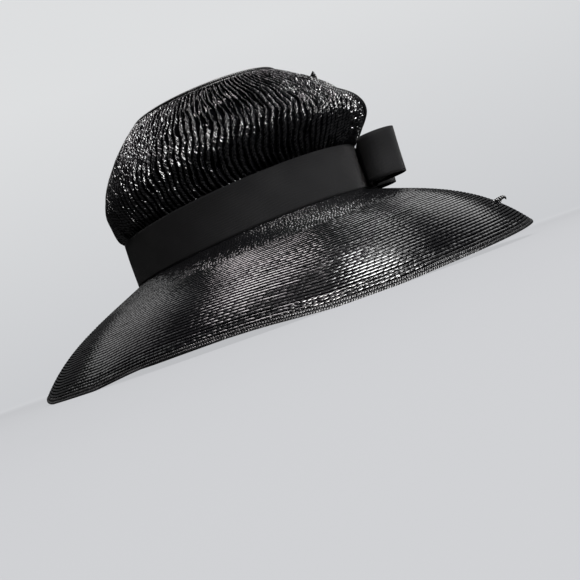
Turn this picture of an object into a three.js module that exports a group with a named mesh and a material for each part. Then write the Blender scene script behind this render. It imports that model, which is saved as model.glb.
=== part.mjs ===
// Wide-brimmed straw hat with a puffed, gathered crown, a ribbon band and a flat bow.
// Millimetres. The brim rests on the floor at z = 0, +Z is up, the front is at -Y and the
// wearer's left is at +X. A turn is an angle about +Z in degrees, from +X towards +Y (the back).
import * as THREE from "three";

const DEGREE = Math.PI / 180;
const GAP = 0.3;

// How far to each side a surface is read when its slope is measured.
const TURN_STEP = 1;
const SHARE_STEP = 0.01;

// The oval that the ribbon band is wrapped on, and the plane of its lower edge.
const BAND_HALF_LENGTH = 100;
const BAND_HALF_WIDTH = 85.3;
const BAND_CENTRE_X = -0.8;
const BAND_CENTRE_Y = 6.1;
const BAND_FOOT_HEIGHT = 66.5;
const BAND_RISE_TO_SIDE = 0.5;
const BAND_RISE_TO_BACK = -6.1;
const RIBBON_FOOT = 0.65;
const RIBBON_TOP = 34.9;
const RIBBON_THICKNESS = 0.8;

// Brim: an oval bell that falls from the band to the rim.
const RIM_HALF_LENGTH = 199;
const RIM_HALF_WIDTH = 183;
const BRIM_THICKNESS = 2;
const RIM_FACE_WIDTH = 2.4;
const RIM_SETTLE = 0.5;
const BRIM_INNER_SHARE = -0.03;
const BRIM_COLUMNS = 96;
const BRIM_TOP_SHARES = [BRIM_INNER_SHARE, 0.08, 0.2, 0.35, 0.5, 0.64, 0.76, 0.86, 0.94, 1];
const BRIM_UNDER_SHARES = [0.93, 0.8, 0.62, 0.42, 0.2, BRIM_INNER_SHARE];

// How high the rim's edge stands at each turn. Its lowest half millimetre settles flat on the floor.
const RIM_WAVE = [
  { turn: 0, height: 0 },
  { turn: 20, height: 0.2 },
  { turn: 40, height: 0.2 },
  { turn: 60, height: 0.2 },
  { turn: 80, height: 1.3 },
  { turn: 100, height: 4.5 },
  { turn: 120, height: 6.4 },
  { turn: 140, height: 0.8 },
  { turn: 160, height: 0 },
  { turn: 180, height: 4.6 },
  { turn: 200, height: 4.2 },
  { turn: 220, height: 0 },
  { turn: 240, height: 2.1 },
  { turn: 260, height: 5 },
  { turn: 280, height: 8.4 },
  { turn: 300, height: 11.8 },
  { turn: 320, height: 8.7 },
  { turn: 340, height: 4 },
];

// How the brim falls: the straight share of its drop, and how late the rest comes.
const BRIM_FALL = [
  { turn: 30, straight: 0.64, lateness: 3.1 },
  { turn: 120, straight: 0.7, lateness: 4.1 },
  { turn: 210, straight: 0.6, lateness: 3 },
  { turn: 300, straight: 0.58, lateness: 4 },
];

// Crown side: how far the puff stands out from the band's oval, from the band up to the tip's edge.
const CROWN_PUFF = [
  { share: 0, back: -1.1, front: -1.1 },
  { share: 0.08, back: 2.1, front: 4.3 },
  { share: 0.18, back: 3.3, front: 10.5 },
  { share: 0.3, back: 3.5, front: 16.2 },
  { share: 0.42, back: 0.6, front: 14.3 },
  { share: 0.54, back: -3.5, front: 5.4 },
  { share: 0.66, back: -10.3, front: -2.5 },
  { share: 0.77, back: -17.3, front: -12.1 },
  { share: 0.87, back: -24.8, front: -22.7 },
  { share: 0.95, back: -31.8, front: -31.5 },
  { share: 1, back: -36.6, front: -38.4 },
];
const CROWN_THICKNESS = 2;
const CROWN_SEAT = 1.6;
const CROWN_TOP_HEIGHT = 180.5;
const CROWN_TOP_SLOPE_X = -0.005;
const CROWN_TOP_SLOPE_Y = -0.015;
const CROWN_GATHERS = 36;
const CROWN_GATHER_DEPTH = 1.1;
const CROWN_GATHER_FADE = 0.7;
const CROWN_COLUMNS = 144;
const CROWN_OUTER_PLACES = [-1, -0.5, 0, 0.08, 0.18, 0.3, 0.42, 0.54, 0.66, 0.77, 0.87, 0.95, 1];
const CROWN_INNER_PLACES = [1, 0.87, 0.66, 0.42, 0.18, 0, -1];

// Tip: the flat oval top inside the gathers, and the rolled cord that covers its seam.
const TIP_EDGE_OFFSET = -39.4;
const TIP_THICKNESS = 2;
const TIP_DOME = 3;
const TIP_COLUMNS = 72;
const TIP_RINGS = [0.35, 0.7, 1];
const CORD_OFFSET = -38;
const CORD_RADIUS = 1.15;
const CORD_SIDES = 6;

// Bow: two ribbon loops held by a knot. It stands on the front left of the band.
// Along it, "along" runs level beside the band, "out" runs away from it.
const BOW_TURN = 296;
const BOW_FACING = -60;
const BOW_FOOT = 2.6;
const BOW_RIBBON_WIDTH = 34;
const BOW_RIBBON_THICKNESS = 0.9;
const BOW_LEAN = 0.044;
const BOW_PATH = [
  { along: 1.2, out: 2.9 },
  { along: 10, out: 2.7 },
  { along: 22, out: 0.4 },
  { along: 33, out: -1.6 },
  { along: 40, out: -0.8 },
  { along: 45.5, out: 3.4 },
  { along: 48.6, out: 9.5 },
  { along: 48.6, out: 16 },
  { along: 45.6, out: 22 },
  { along: 40, out: 26 },
  { along: 32, out: 27.2 },
  { along: 23, out: 25.4 },
  { along: 15.5, out: 20 },
  { along: 11.4, out: 12.5 },
  { along: 8.6, out: 7 },
  { along: 1.2, out: 6.4 },
];
const KNOT_WIDTH = 15;
const KNOT_INNER_OUT = 1.5;
const KNOT_OUTER_OUT = 8.6;
const KNOT_CLEARANCE = 0.4;
const KNOT_THICKNESS = 0.8;

// Two cut ends of straw that stand up from the sewn rows.
const CROWN_STRAW_TURN = 285;
const CROWN_STRAW_PLACE = 0.745;
const CROWN_STRAW_LENGTH = 6.5;
const CROWN_STRAW_RADIUS = 2.3;
const BRIM_STRAW_TURN = 293;
const BRIM_STRAW_SHARE = 0.86;
const BRIM_STRAW_LENGTH = 13;
const BRIM_STRAW_RADIUS = 1.8;
const BRIM_STRAW_LIFT = 0.35;
const STRAW_SIDES = 6;

function mix(a, b, t) {
  return a + (b - a) * t;
}

// A column of a table whose rows are spaced evenly around the hat, read at any turn.
function around(rows, column, turn) {
  const place = ((turn - rows[0].turn) * rows.length) / 360;
  const row = Math.floor(place);
  const t = place - row;
  const count = rows.length;
  const [a, b, c, d] = [-1, 0, 1, 2].map((i) => rows[(((row + i) % count) + count) % count][column]);
  const bend = 2 * a - 5 * b + 4 * c - d;
  const twist = 3 * b - a - 3 * c + d;
  return b + 0.5 * t * (c - a + t * (bend + t * twist));
}

// A column of a table whose rows run from share 0 to share 1, read at any share.
function upward(rows, column, share) {
  let row = rows.length - 2;
  while (row > 0 && rows[row].share > share) {
    row -= 1;
  }
  const [p, q] = [rows[row], rows[row + 1]];
  const span = q.share - p.share;
  const slopeAt = (i) => {
    const low = rows[Math.max(i - 1, 0)];
    const high = rows[Math.min(i + 1, rows.length - 1)];
    return (high[column] - low[column]) / (high.share - low.share);
  };
  const t = (share - p.share) / span;
  const rise = t * t * (3 - 2 * t);
  const leave = t * (1 - t) * (1 - t) * span;
  const arrive = -t * t * (1 - t) * span;
  return mix(p[column], q[column], rise) + leave * slopeAt(row) + arrive * slopeAt(row + 1);
}

// A point beside the band's oval, moved out by an offset and up from the plane of its lower edge.
function beside(turn, offset, rise) {
  const c = Math.cos(turn * DEGREE);
  const s = Math.sin(turn * DEGREE);
  const out = new THREE.Vector3(c / BAND_HALF_WIDTH, s / BAND_HALF_LENGTH, 0).normalize();
  const x = BAND_CENTRE_X + BAND_HALF_WIDTH * c + out.x * offset;
  const y = BAND_CENTRE_Y + BAND_HALF_LENGTH * s + out.y * offset;
  const z = BAND_FOOT_HEIGHT + BAND_RISE_TO_SIDE * c + BAND_RISE_TO_BACK * s + rise;
  return new THREE.Vector3(x, y, z);
}

function rimHeight(turn) {
  return Math.max(0, around(RIM_WAVE, "height", turn) - RIM_SETTLE);
}

// The brim's upper surface: share 0 is at the band and share 1 at the rim.
function brimTop(turn, share) {
  const foot = beside(turn, 0, 0);
  const straight = around(BRIM_FALL, "straight", turn);
  const lateness = around(BRIM_FALL, "lateness", turn);
  const fall = straight * share + (1 - straight) * Math.max(share, 0) ** lateness;
  const x = mix(foot.x, RIM_HALF_WIDTH * Math.cos(turn * DEGREE), share);
  const y = mix(foot.y, RIM_HALF_LENGTH * Math.sin(turn * DEGREE), share);
  return new THREE.Vector3(x, y, mix(foot.z, rimHeight(turn), fall));
}

function crownTopHeight(x, y) {
  return CROWN_TOP_HEIGHT + CROWN_TOP_SLOPE_X * x + CROWN_TOP_SLOPE_Y * y;
}

// The crown's outer surface: place -1 is the seat on the brim, 0 the band's top and 1 the tip's edge.
function crownSide(turn, place, gather = 0) {
  if (place <= 0) {
    return beside(turn, CROWN_PUFF[0].back, mix(RIBBON_TOP, CROWN_SEAT, -place));
  }
  const front = (1 - Math.sin(turn * DEGREE)) / 2;
  const offset = mix(upward(CROWN_PUFF, "back", place), upward(CROWN_PUFF, "front", place), front);
  const point = beside(turn, offset + gather, RIBBON_TOP);
  point.z = mix(point.z, crownTopHeight(point.x, point.y), place);
  return point;
}

function gatherDepth(turn, place) {
  const fade = Math.sin(Math.PI * Math.min(Math.max(place, 0), 1)) ** CROWN_GATHER_FADE;
  return CROWN_GATHER_DEPTH * fade * Math.cos(CROWN_GATHERS * turn * DEGREE);
}

// The unit normal of a surface given as point(turn, place), turned to the side named by sign.
function normalOf(point, turn, place, sign) {
  const across = point(turn + TURN_STEP, place).sub(point(turn - TURN_STEP, place));
  const along = point(turn, place + SHARE_STEP).sub(point(turn, place - SHARE_STEP));
  return across.cross(along).normalize().multiplyScalar(sign);
}

function solid(name, positions, triangles, material) {
  const geometry = new THREE.BufferGeometry();
  const values = positions.flatMap((p) => [p.x, p.y, p.z]);
  geometry.setAttribute("position", new THREE.Float32BufferAttribute(values, 3));
  geometry.setIndex(triangles);
  geometry.computeVertexNormals();
  const mesh = new THREE.Mesh(geometry, material);
  mesh.name = name;
  return mesh;
}

// A ring-shaped solid from sections, each the same closed outline, joined in turn and then closed.
function ring(name, sections, material) {
  const count = sections.length;
  const size = sections[0].length;
  const triangles = [];
  for (let i = 0; i < count; i += 1) {
    for (let j = 0; j < size; j += 1) {
      const [here, next] = [i * size, ((i + 1) % count) * size];
      const k = (j + 1) % size;
      triangles.push(here + j, next + j, next + k, here + j, next + k, here + k);
    }
  }
  return solid(name, sections.flat(), triangles, material);
}

function turns(columns) {
  return Array.from({ length: columns }, (_, i) => (i * 360) / columns);
}

function brim(material) {
  const up = (turn, share) => normalOf(brimTop, turn, share, -1);
  const sections = turns(BRIM_COLUMNS).map((turn) => {
    const top = BRIM_TOP_SHARES.map((share) => brimTop(turn, share));
    const rim = brimTop(turn, 1);
    const inward = new THREE.Vector3(-rim.x, -rim.y, 0).setLength(RIM_FACE_WIDTH);
    const under = BRIM_UNDER_SHARES.map((share) =>
      brimTop(turn, share).addScaledVector(up(turn, Math.max(share, 0)), -BRIM_THICKNESS),
    );
    return [...top, rim.clone().add(inward), ...under].reverse();
  });
  return ring("brim", sections, material);
}

function wallNormal(turn) {
  return beside(turn, 1, 0).sub(beside(turn, 0, 0));
}

function crownNormal(turn, place) {
  return place > 0 ? normalOf(crownSide, turn, Math.min(place, 1 - SHARE_STEP), 1) : wallNormal(turn);
}

function crownSideSolid(material) {
  const sections = turns(CROWN_COLUMNS).map((turn) => {
    const outer = CROWN_OUTER_PLACES.map((place) => crownSide(turn, place, gatherDepth(turn, place)));
    const inner = CROWN_INNER_PLACES.map((place) =>
      crownSide(turn, place).addScaledVector(crownNormal(turn, place), -CROWN_THICKNESS),
    );
    return [...outer, ...inner];
  });
  return ring("crown_side", sections, material);
}

// A point of the tip's upper face: share 0 is its middle and share 1 its edge.
function tipTop(turn, share) {
  const centre = new THREE.Vector3(BAND_CENTRE_X, BAND_CENTRE_Y, 0);
  const point = centre.lerp(beside(turn, TIP_EDGE_OFFSET, 0), share);
  point.z = crownTopHeight(point.x, point.y) + TIP_DOME * (1 - share * share);
  return point;
}

function crownTip(material) {
  const face = TIP_RINGS.flatMap((share) => turns(TIP_COLUMNS).map((turn) => tipTop(turn, share)));
  face.push(tipTop(0, 0));
  const middle = face.length - 1;
  const back = face.map((p) => new THREE.Vector3(p.x, p.y, p.z - TIP_THICKNESS));
  const triangles = [];
  const addBoth = (a, b, c) => {
    triangles.push(a, b, c);
    triangles.push(a + face.length, c + face.length, b + face.length);
  };
  for (let i = 0; i < TIP_COLUMNS; i += 1) {
    const n = (i + 1) % TIP_COLUMNS;
    addBoth(middle, i, n);
    for (let r = 1; r < TIP_RINGS.length; r += 1) {
      const [inner, outer] = [(r - 1) * TIP_COLUMNS, r * TIP_COLUMNS];
      addBoth(inner + i, outer + i, outer + n);
      addBoth(inner + i, outer + n, inner + n);
    }
    const edge = middle - TIP_COLUMNS;
    triangles.push(edge + i, face.length + edge + i, face.length + edge + n);
    triangles.push(edge + i, face.length + edge + n, edge + n);
  }
  return solid("crown_tip", [...face, ...back], triangles, material);
}

function tipCord(material) {
  const sections = turns(TIP_COLUMNS).map((turn) => {
    const middle = beside(turn, CORD_OFFSET, 0);
    middle.z = crownTopHeight(middle.x, middle.y) + GAP + CORD_RADIUS;
    const out = wallNormal(turn);
    return Array.from({ length: CORD_SIDES }, (_, i) => {
      const angle = ((i + 0.5) * 2 * Math.PI) / CORD_SIDES;
      const point = middle.clone().addScaledVector(out, CORD_RADIUS * Math.cos(angle));
      point.z += CORD_RADIUS * Math.sin(angle);
      return point;
    });
  });
  return ring("tip_cord", sections, material);
}

function hatBand(material) {
  const sections = turns(BRIM_COLUMNS).map((turn) => [
    beside(turn, 0, RIBBON_FOOT),
    beside(turn, 0, RIBBON_TOP),
    beside(turn, -RIBBON_THICKNESS, RIBBON_TOP),
    beside(turn, -RIBBON_THICKNESS, RIBBON_FOOT),
  ]);
  return ring("hat_band", sections, material);
}

// A point of the bow. Its upper edge leans a little away from the crown.
function bowPoint(along, out, rise) {
  const foot = beside(BOW_TURN, 0, BOW_FOOT);
  const facing = new THREE.Vector3(Math.cos(BOW_FACING * DEGREE), Math.sin(BOW_FACING * DEGREE), 0);
  const beam = new THREE.Vector3(facing.y, -facing.x, 0);
  const lean = BOW_LEAN * (rise - BOW_RIBBON_WIDTH / 2);
  const point = foot.addScaledVector(beam, along).addScaledVector(facing, out + lean);
  point.z += rise;
  return point;
}

// One loop of ribbon: the path seen from above, thickened inwards and as tall as the ribbon is wide.
function bowLoop(name, side, material) {
  const count = BOW_PATH.length;
  const sections = BOW_PATH.map((p, i) => {
    const [a, b] = [BOW_PATH[(i + count - 1) % count], BOW_PATH[(i + 1) % count]];
    const inward = new THREE.Vector2(a.out - b.out, b.along - a.along).normalize();
    const inner = {
      along: p.along + inward.x * BOW_RIBBON_THICKNESS,
      out: p.out + inward.y * BOW_RIBBON_THICKNESS,
    };
    const outline = [
      bowPoint(side * p.along, p.out, 0),
      bowPoint(side * p.along, p.out, BOW_RIBBON_WIDTH),
      bowPoint(side * inner.along, inner.out, BOW_RIBBON_WIDTH),
      bowPoint(side * inner.along, inner.out, 0),
    ];
    return side > 0 ? outline : outline.reverse();
  });
  return ring(name, sections, material);
}

function bowKnot(material) {
  const low = -KNOT_CLEARANCE - KNOT_THICKNESS;
  const high = BOW_RIBBON_WIDTH - low;
  const corners = [
    { out: KNOT_INNER_OUT, rise: low, inOut: 1, inRise: 1 },
    { out: KNOT_OUTER_OUT, rise: low, inOut: -1, inRise: 1 },
    { out: KNOT_OUTER_OUT, rise: high, inOut: -1, inRise: -1 },
    { out: KNOT_INNER_OUT, rise: high, inOut: 1, inRise: -1 },
  ];
  const half = KNOT_WIDTH / 2;
  const sections = corners.map(({ out, rise, inOut, inRise }) => {
    const innerOut = out + inOut * KNOT_THICKNESS;
    const innerRise = rise + inRise * KNOT_THICKNESS;
    return [
      bowPoint(-half, out, rise),
      bowPoint(half, out, rise),
      bowPoint(half, innerOut, innerRise),
      bowPoint(-half, innerOut, innerRise),
    ];
  });
  return ring("bow_knot", sections, material);
}

// A pointed end of straw: a slim cone on a foot, pointing along a direction.
function strawEnd(name, foot, direction, length, radius, material) {
  const cone = new THREE.ConeGeometry(radius, length, STRAW_SIDES);
  cone.translate(0, length / 2, 0);
  const pose = new THREE.Quaternion().setFromUnitVectors(new THREE.Vector3(0, 1, 0), direction);
  cone.applyQuaternion(pose);
  cone.translate(foot.x, foot.y, foot.z);
  const mesh = new THREE.Mesh(cone, material);
  mesh.name = name;
  return mesh;
}

function crownStraw(material) {
  const normal = normalOf(crownSide, CROWN_STRAW_TURN, CROWN_STRAW_PLACE, 1);
  const clear = CROWN_GATHER_DEPTH + GAP;
  const foot = crownSide(CROWN_STRAW_TURN, CROWN_STRAW_PLACE).addScaledVector(normal, clear);
  return strawEnd("crown_straw_end", foot, normal, CROWN_STRAW_LENGTH, CROWN_STRAW_RADIUS, material);
}

function brimStraw(material) {
  const normal = normalOf(brimTop, BRIM_STRAW_TURN, BRIM_STRAW_SHARE, -1);
  const place = brimTop(BRIM_STRAW_TURN, BRIM_STRAW_SHARE);
  const toBand = brimTop(BRIM_STRAW_TURN, BRIM_STRAW_SHARE - SHARE_STEP).sub(place).normalize();
  const foot = place.addScaledVector(normal, BRIM_STRAW_RADIUS + GAP);
  const direction = toBand.addScaledVector(normal, BRIM_STRAW_LIFT).normalize();
  return strawEnd("brim_straw_end", foot, direction, BRIM_STRAW_LENGTH, BRIM_STRAW_RADIUS, material);
}

const straw = new THREE.MeshStandardMaterial({ name: "black_straw", color: 0x141414, roughness: 0.35 });
const ribbon = new THREE.MeshStandardMaterial({ name: "black_ribbon", color: 0x1a1a1a, roughness: 0.85 });

const group = new THREE.Group();
group.name = "wide_brim_hat";
group.add(
  brim(straw),
  crownSideSolid(straw),
  crownTip(straw),
  tipCord(straw),
  hatBand(ribbon),
  bowLoop("bow_loop_front", 1, ribbon),
  bowLoop("bow_loop_side", -1, ribbon),
  bowKnot(ribbon),
  crownStraw(straw),
  brimStraw(straw),
);

export default group;
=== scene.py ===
import math

import bmesh
import bpy
import numpy as np
from mathutils import Matrix, Vector


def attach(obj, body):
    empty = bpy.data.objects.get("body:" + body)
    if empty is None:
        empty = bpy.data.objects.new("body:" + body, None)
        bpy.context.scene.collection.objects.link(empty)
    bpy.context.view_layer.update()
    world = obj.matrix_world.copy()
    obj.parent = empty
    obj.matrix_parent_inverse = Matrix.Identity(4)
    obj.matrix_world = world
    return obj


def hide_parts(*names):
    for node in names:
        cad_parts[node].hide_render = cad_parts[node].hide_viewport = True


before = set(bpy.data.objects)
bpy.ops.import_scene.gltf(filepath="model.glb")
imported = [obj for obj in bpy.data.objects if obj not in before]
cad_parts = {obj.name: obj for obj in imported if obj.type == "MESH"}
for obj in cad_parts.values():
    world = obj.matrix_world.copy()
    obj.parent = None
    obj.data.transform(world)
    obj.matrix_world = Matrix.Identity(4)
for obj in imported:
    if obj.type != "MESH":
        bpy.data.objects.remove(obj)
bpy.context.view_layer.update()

# Viewpoint: a low camera at the hat's front right, level with the brim. It is rolled, because the
# hat leans to the left of the picture while it stands level on the floor.
EYE = Vector((-0.7045, -0.4002, 0.0112))
AIM = Vector((0.0062, -0.0060, 0.0213))
ROLL = math.radians(19.54)
SENSOR = 36.0
LENS = 64.98

look = (AIM - EYE).normalized()
level = look.cross(Vector((0, 0, 1))).normalized()
upright = level.cross(look)
image_right = level * math.cos(ROLL) - upright * math.sin(ROLL)
image_up = level * math.sin(ROLL) + upright * math.cos(ROLL)
camera_data = bpy.data.cameras.new("viewpoint")
camera_data.sensor_width = SENSOR
camera_data.lens = LENS
camera_data.clip_start = 0.02
camera = bpy.data.objects.new("viewpoint", camera_data)
turned = Matrix((image_right, image_up, -look)).transposed()
camera.matrix_world = Matrix.Translation(EYE) @ turned.to_4x4()
bpy.context.collection.objects.link(camera)
bpy.context.scene.camera = camera

# Studio: a pale round floor that curves up into a wall all round, so that no edge shows behind
# the hat. Large soft lamps stand round it, and smaller bright windows make the glossy patches.
FLOOR_RADIUS = 3.0
WALL_BEND = 1.2
WALL_HEIGHT = 4.0
STAGE_SEGMENTS = 96
FLOOR_RINGS = (0.35, 0.9)
BEND_STEPS = 12
PAPER_SEEN = (0.03, 0.03, 0.031, 1)
PAPER_DIM = (0.02, 0.02, 0.02, 1)
PAPER_FADE = (0.55, 1.3)
PAPER_GLOW_LOW = (0.590, 0.600, 0.620, 1)
PAPER_GLOW_HIGH = (0.72, 0.73, 0.74, 1)
PAPER_GLOW_HEIGHT = 1.3
PAPER_GLOW_NEAR = 0.84
PAPER_SPILL = 0.1
LAMP_AIM = Vector((0, 0, 0.08))
ROOM_COLOUR = (0.70, 0.71, 0.73, 1)
ROOM_LIGHT = (0.10, 0.10, 0.11, 1)


def socket_value(node, name, value):
    node.inputs[name].default_value = value


def new_material(name):
    material = bpy.data.materials.new(name)
    material.use_nodes = True
    return material, material.node_tree, material.node_tree.nodes["Principled BSDF"]


def map_range(tree, value, span, low, high):
    """A Map Range node from a span to two values, kept within them. Returns its output."""
    node = tree.nodes.new("ShaderNodeMapRange")
    tree.links.new(value, node.inputs["Value"])
    node.inputs["From Min"].default_value, node.inputs["From Max"].default_value = span
    node.inputs["To Min"].default_value, node.inputs["To Max"].default_value = low, high
    return node.outputs["Result"]


def blend_colour(tree, factor, low, high):
    """A colour mixed between two, by a factor. Returns its output."""
    node = tree.nodes.new("ShaderNodeMix")
    node.data_type = "RGBA"
    node.inputs["A"].default_value = low
    node.inputs["B"].default_value = high
    tree.links.new(factor, node.inputs["Factor"])
    return node.outputs["Result"]


def maths(tree, operation, *values):
    """A Math node with its inputs set from sockets or numbers. Returns its output."""
    node = tree.nodes.new("ShaderNodeMath")
    node.operation = operation
    for slot, value in zip(node.inputs, values):
        if isinstance(value, (int, float)):
            slot.default_value = value
        else:
            tree.links.new(value, slot)
    return node.outputs[0]


def studio_paper():
    """Pale paper that takes the hat's shadow near it and looks even further away."""
    material, tree, surface = new_material("studio_paper")
    nodes, links = tree.nodes, tree.links
    where = nodes.new("ShaderNodeTexCoord").outputs["Object"]
    reach = nodes.new("ShaderNodeVectorMath")
    reach.operation = "LENGTH"
    links.new(where, reach.inputs[0])
    far = map_range(tree, reach.outputs["Value"], PAPER_FADE, 0, 1)
    apart = nodes.new("ShaderNodeSeparateXYZ")
    links.new(where, apart.inputs[0])
    high = map_range(tree, apart.outputs["Z"], (0, PAPER_GLOW_HEIGHT), 0, 1)
    seen = nodes.new("ShaderNodeLightPath").outputs["Is Camera Ray"]
    near = maths(tree, "MULTIPLY", maths(tree, "SUBTRACT", 1.0, far), seen)
    links.new(blend_colour(tree, near, PAPER_DIM, PAPER_SEEN), surface.inputs["Base Color"])
    links.new(blend_colour(tree, high, PAPER_GLOW_LOW, PAPER_GLOW_HIGH), surface.inputs["Emission Color"])
    even = map_range(tree, reach.outputs["Value"], PAPER_FADE, PAPER_GLOW_NEAR, 1)
    glow = maths(tree, "MULTIPLY_ADD", maths(tree, "SUBTRACT", even, PAPER_SPILL), seen, PAPER_SPILL)
    links.new(glow, surface.inputs["Emission Strength"])
    socket_value(surface, "Roughness", 0.9)
    socket_value(surface, "Specular IOR Level", 0.0)
    return material


def backdrop_profile():
    bend = [math.radians(90 * i / BEND_STEPS) for i in range(BEND_STEPS + 1)]
    curve = [(FLOOR_RADIUS + WALL_BEND * math.sin(b), WALL_BEND * (1 - math.cos(b))) for b in bend]
    return [(radius, 0.0) for radius in FLOOR_RINGS] + curve + [(FLOOR_RADIUS + WALL_BEND, WALL_HEIGHT)]


def backdrop():
    profile = backdrop_profile()
    spots = [(0, 0, 0)]
    for radius, height in profile:
        for i in range(STAGE_SEGMENTS):
            angle = 2 * math.pi * i / STAGE_SEGMENTS
            spots.append((radius * math.cos(angle), radius * math.sin(angle), height))
    faces = [(0, 1 + i, 1 + (i + 1) % STAGE_SEGMENTS) for i in range(STAGE_SEGMENTS)]
    for ring in range(len(profile) - 1):
        for i in range(STAGE_SEGMENTS):
            a = 1 + ring * STAGE_SEGMENTS
            n = (i + 1) % STAGE_SEGMENTS
            faces.append((a + i, a + STAGE_SEGMENTS + i, a + STAGE_SEGMENTS + n, a + n))
    mesh = bpy.data.meshes.new("studio_floor")
    mesh.from_pydata(spots, [], faces)
    mesh.shade_smooth()
    mesh.materials.append(studio_paper())
    stage = bpy.data.objects.new("studio_floor", mesh)
    bpy.context.collection.objects.link(stage)


def lamp_at(name, azimuth, elevation, distance, size, radiance, colour=(1, 1, 1)):
    """A lamp placed by its direction from the hat. Azimuth 0 is in front of it and 90 on its left."""
    a, e = math.radians(azimuth), math.radians(elevation)
    way = Vector((math.sin(a) * math.cos(e), -math.cos(a) * math.cos(e), math.sin(e)))
    data = bpy.data.lights.new(name, "AREA")
    data.shape = "RECTANGLE"
    data.size, data.size_y = size
    data.energy = radiance * math.pi * size[0] * size[1]
    data.color = colour
    light = bpy.data.objects.new(name, data)
    light.visible_camera = False
    light.location = LAMP_AIM + way * distance
    light.rotation_euler = (LAMP_AIM - light.location).to_track_quat("-Z", "Y").to_euler()
    bpy.context.collection.objects.link(light)


def room():
    """The air of the room: pale where it is seen, dim where it lights the hat."""
    world = bpy.data.worlds.new("studio_air")
    world.use_nodes = True
    tree = world.node_tree
    air = tree.nodes["Background"]
    seen = tree.nodes.new("ShaderNodeLightPath").outputs["Is Camera Ray"]
    tree.links.new(blend_colour(tree, seen, ROOM_LIGHT, ROOM_COLOUR), air.inputs["Color"])
    bpy.context.scene.world = world


backdrop()
lamp_at("overhead_softbox", 105, 60, 2.0, (1.7, 1.1), 0.55)
lamp_at("high_softbox", -90, 72, 2.0, (1.5, 1.1), 0.4)
lamp_at("key_window", -48, 34, 1.6, (0.34, 0.32), 75, (1.0, 0.97, 0.96))
lamp_at("belt_window", -16, 54, 1.6, (0.40, 0.40), 60)
lamp_at("ceiling_window", 140, 75, 1.6, (0.66, 0.46), 16, (1.0, 0.93, 0.95))
lamp_at("left_window", 54, 63, 1.6, (0.40, 0.40), 7)
lamp_at("front_window", -2, 50, 1.6, (0.30, 0.26), 7)
lamp_at("low_window", -20, 14, 1.6, (0.50, 0.30), 90)
lamp_at("front_softbox", 8, 22, 2.0, (0.9, 0.7), 0.7)
lamp_at("rear_softbox", 128, 36, 2.2, (1.2, 0.7), 0.25)
lamp_at("rear_left_softbox", 78, 35, 2.2, (1.3, 0.9), 1.8)
lamp_at("rear_right_softbox", 163, 39, 2.2, (1.5, 1.0), 1.1)
room()
bpy.context.scene.view_settings.view_transform = "Standard"

# Brim: a flat plait of glossy black straw sewn round and round, each row lapping over the next one
# out. It falls in a bell from the ribbon to the rim, where the last rows turn down and under.
BAND_HALF_LENGTH = 0.100
BAND_HALF_WIDTH = 0.0853
BAND_CENTRE = (-0.0008, 0.0061)
BAND_FOOT = 0.0665
BAND_FOOT_TO_SIDE = 0.0005
BAND_FOOT_TO_BACK = -0.0061
RIM_HALF_LENGTH = 0.199
RIM_HALF_WIDTH = 0.183
RIM_SETTLE = 0.0005
RIM_WAVE_HEIGHTS = [
    0.0, 0.0002, 0.0002, 0.0002, 0.0013, 0.0045, 0.0064, 0.0008, 0.0,
    0.0046, 0.0042, 0.0, 0.0021, 0.0050, 0.0084, 0.0118, 0.0087, 0.0040,
]
RIM_WAVE = [{"turn": 20 * i, "height": height} for i, height in enumerate(RIM_WAVE_HEIGHTS)]
BRIM_FALL = [
    {"turn": 30, "straight": 0.64, "lateness": 3.1},
    {"turn": 120, "straight": 0.70, "lateness": 4.1},
    {"turn": 210, "straight": 0.60, "lateness": 3.0},
    {"turn": 300, "straight": 0.58, "lateness": 4.0},
]
BRIM_ROWS = 49
# The brim is made in rings of rows. The first is woven finer and the last is the folded edge.
BRIM_RINGS = [
    {"name": "brim_rows_near_band", "first": 0, "last": 17},
    {"name": "brim_rows_middle", "first": 17, "last": 29},
    {"name": "brim_rows_low", "first": 29, "last": 44},
    {"name": "brim_rows_near_rim", "first": 44, "last": 47},
    {"name": "brim_edge_rows", "first": 47, "last": 49},
]
BRIM_COLUMNS = 480
SHARE_START = -0.03
SHARE_SAMPLES = 160
SHARE_STEP = 0.004
TURN_STEP = 0.5
BRIM_THICKNESS = 0.0016
BRIM_ROW_DEPTH = 0.00045
UNDER_ROW_DEPTH = 0.00025
UPPER_STEPS = [0.0, 0.16, 0.4, 0.64, 0.84, 0.93]
CRISP_STEPS = [0.0, 0.16, 0.84, 0.99]
# Each profile gives the place across a row, from 0 to 1, and the row's height there.
BRIM_PROFILE = [(0, 0), (0.16, 0.92), (0.4, 1.0), (0.64, 0.97), (0.84, 0.8), (0.93, 0.25), (1, 0)]
ROUND_PROFILE = [(0, 0), (0.16, 0.5), (0.4, 1.0), (0.64, 0.95), (0.84, 0.6), (0.93, 0.2), (1, 0)]
UNDER_STEPS = [0.0, 0.5]
STRAW_COLOUR = (0.0022, 0.0022, 0.0025, 1)
# Painted shade: the gaps between strands and rows are coloured darker than the straw.
STRAW_GAP_SHADE = (0.0004, 0.0004, 0.0005, 1)
STRAW_ROUGHNESS = 0.5
STRAW_ROUGHNESS_RANGE = 0.2
STRAW_BUMP = 0.001
FIBRE_SCALE = 1500
FIBRE_BUMP = 0.015
ROW_GAP = (0.72, 1.0)
STRAND_GAP_SHARPNESS = 6.0
FOLD_CONTRAST = 5.0
FOLD_LIMIT = -3.0
FOLDED_SPAN = (0.2, 0.8)
LUMP_CONTRAST = 4.0
ROW_NOISE_STEP = 3.7
FINE_ROWS = 17
FINE_RELIEF = 0.5
RIM_TUCK = 0.012
RIM_TURN = 0.0012
RING_LAP = 0.3
RING_DROP = 0.0007
RING_LIP = 0.0013
ROW_END = 0.01
UNDER_SHARE = 0.97
RIM_ROUNDING = 1.0
ROUND_FROM_ROW = 44
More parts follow.
